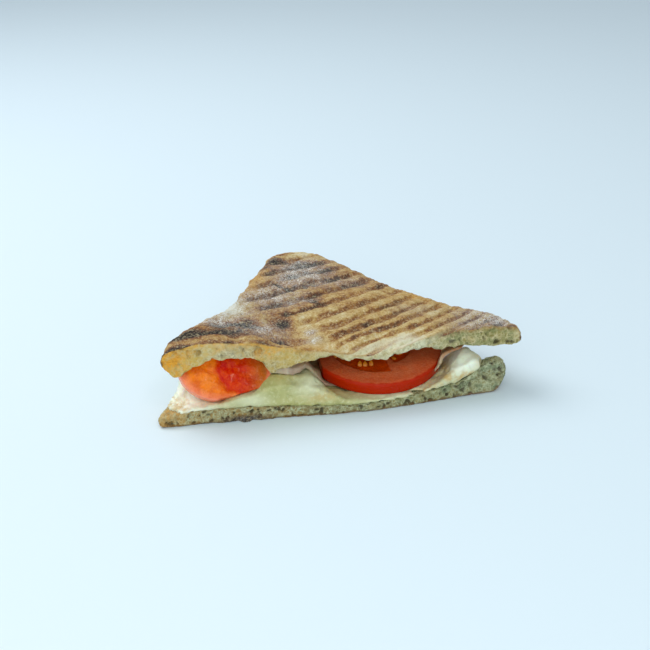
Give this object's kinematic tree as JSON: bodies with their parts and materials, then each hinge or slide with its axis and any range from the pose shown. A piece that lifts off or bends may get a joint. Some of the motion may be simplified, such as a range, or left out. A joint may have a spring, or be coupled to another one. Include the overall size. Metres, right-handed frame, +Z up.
{
  "type": "grilled cheese sandwich wedge",
  "caption": "Pressed and grilled sandwich wedge: flat bread with grill marks, cut to show melted cheese, ham and tomato slices, resting flat.",
  "frame": {"origin": "centre of the bounding box in plan, at the height of the underside", "axes": "+X along the cut side, from the end with the oval tomato slice to the end with the round one, +Y from the cut back to the tip, +Z up"},
  "size_m": [0.189, 0.157, 0.0437],
  "materials": {
    "bread_top": "toasted flat bread crust, floured",
    "bread_bottom": "open pale bread crumb with a thin toasted crust",
    "cheese": "melted pale cheese, satin",
    "ham": "thin cooked ham, moist",
    "tomato_right": "cut ripe tomato, wet",
    "tomato_left": "cut ripe tomato, wet"
  },
  "bodies": {
    "root": {"bread_top": "bread_top", "bread_bottom": "bread_bottom", "cheese": "cheese", "ham": "ham", "tomato_right": "tomato_right", "tomato_left": "tomato_left"}
  },
  "joints": []
}
